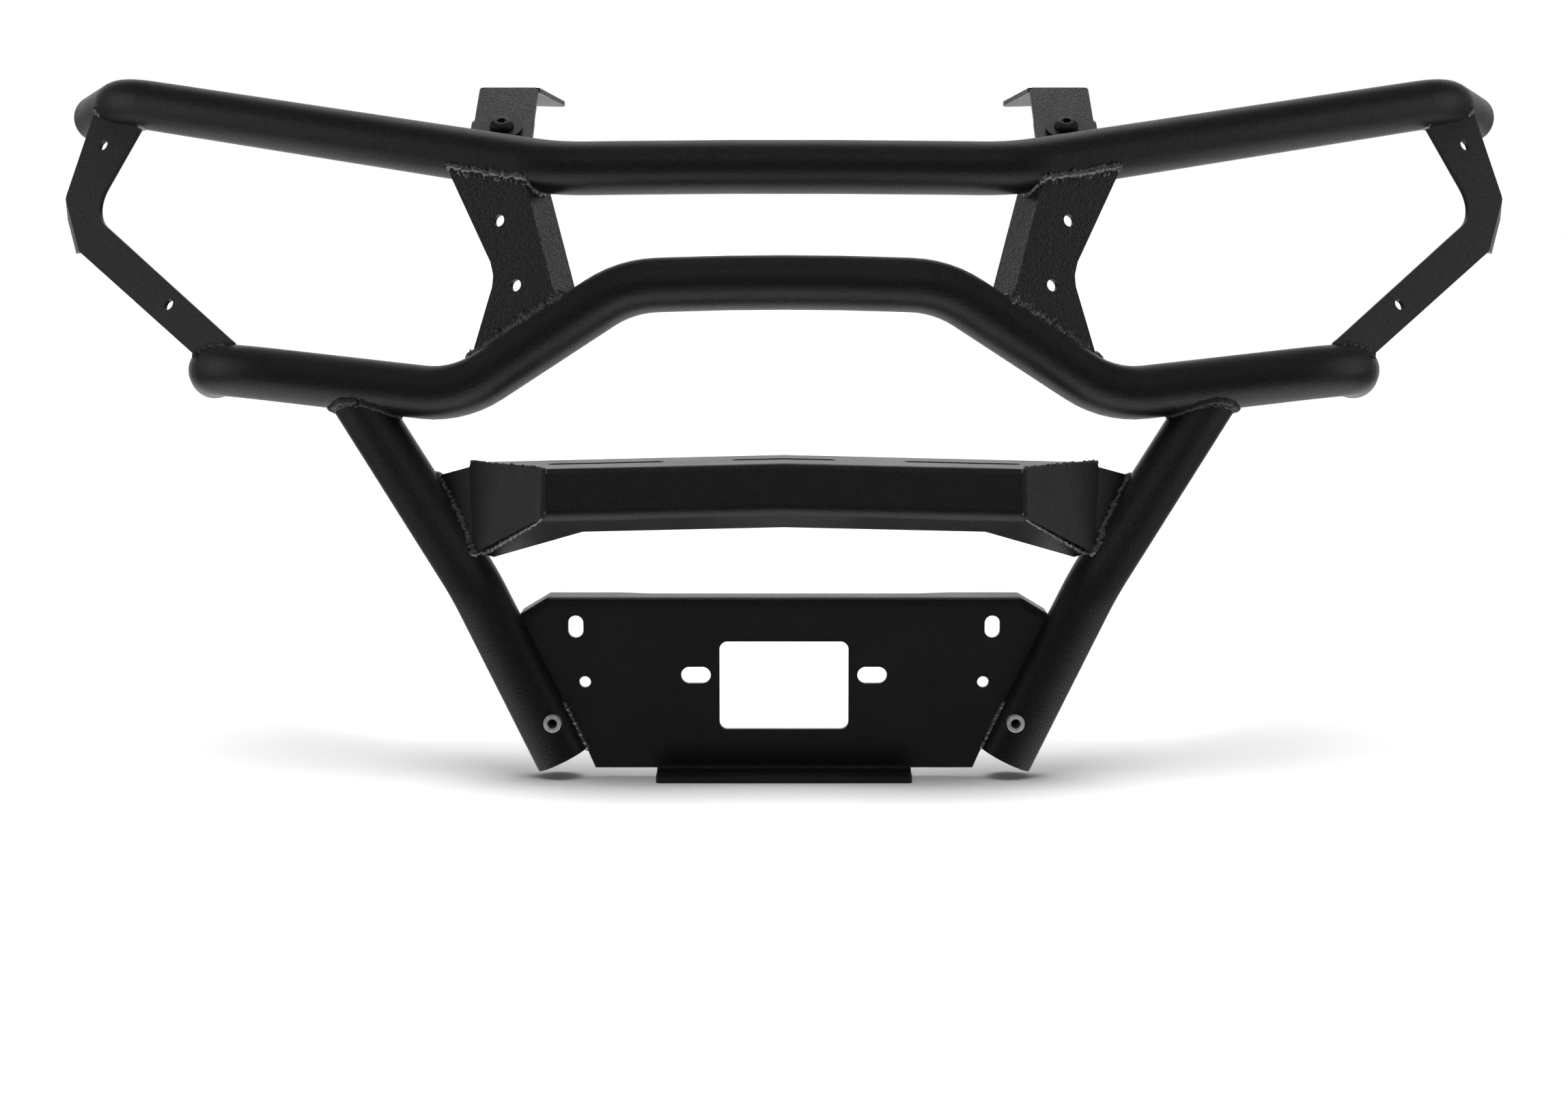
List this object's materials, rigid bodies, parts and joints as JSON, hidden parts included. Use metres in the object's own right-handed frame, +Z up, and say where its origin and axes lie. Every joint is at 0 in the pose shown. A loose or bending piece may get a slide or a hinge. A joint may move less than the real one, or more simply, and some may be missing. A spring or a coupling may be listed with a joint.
{
  "type": "front grille guard",
  "caption": "Tubular front grille guard for a small utility vehicle, with headlight plates, a fairlead plate, a folded crossmember and bolted upper brackets.",
  "frame": {"origin": "centre of the two fairlead slots, on the fairlead plate's front face", "axes": "+X to the right as seen from in front, +Y to the rear, +Z up"},
  "size_m": [1.1606, 0.45, 0.4996],
  "materials": {
    "powder_black": "satin",
    "powder_coarse": "textured",
    "bare_steel": "satin",
    "black_zinc": "satin",
    "nylon": "matte"
  },
  "bodies": {
    "guard": {"top_hoop_tube": "powder_black", "lower_hoop_tube": "powder_black", "top_hoop_end_caps": "powder_black", "lower_hoop_end_caps": "powder_black", "fairlead_plate": "powder_black", "crossmember_channel": "powder_black", "leg_bungs": "bare_steel", "leg_tube_left": "powder_black", "crossmember_end_left": "powder_black", "inner_headlight_plate_left": "powder_coarse", "outer_headlight_plate_left": "powder_black", "rear_tab_left": "powder_black", "leg_tube_right": "powder_black", "crossmember_end_right": "powder_black", "inner_headlight_plate_right": "powder_coarse", "outer_headlight_plate_right": "powder_black", "rear_tab_right": "powder_black"},
    "fastener_left": {"bracket_bolt_left": "black_zinc", "bolt_washers_left": "black_zinc", "lock_nut_left": "black_zinc", "lock_nut_insert_left": "nylon"},
    "bracket_left": {"upper_bracket_left": "powder_coarse"},
    "fastener_right": {"bracket_bolt_right": "black_zinc", "bolt_washers_right": "black_zinc", "lock_nut_right": "black_zinc", "lock_nut_insert_right": "nylon"},
    "bracket_right": {"upper_bracket_right": "powder_coarse"}
  },
  "joints": [
    {"name": "fastener_slide_left", "type": "slide", "parent": "guard", "child": "fastener_left", "axis": [1, 0, 0], "range_m": [-0.002, 0.002]},
    {"name": "bracket_swing_left", "type": "hinge", "parent": "fastener_left", "child": "bracket_left", "pos_m": [-0.2065, 0.12976, 0.38332], "axis": [0, -0.5299, 0.848], "range_deg": [-12, 12]},
    {"name": "fastener_slide_right", "type": "slide", "parent": "guard", "child": "fastener_right", "axis": [1, 0, 0], "range_m": [-0.002, 0.002]},
    {"name": "bracket_swing_right", "type": "hinge", "parent": "fastener_right", "child": "bracket_right", "pos_m": [0.2065, 0.12976, 0.38332], "axis": [0, -0.5299, 0.848], "range_deg": [-12, 12]}
  ]
}
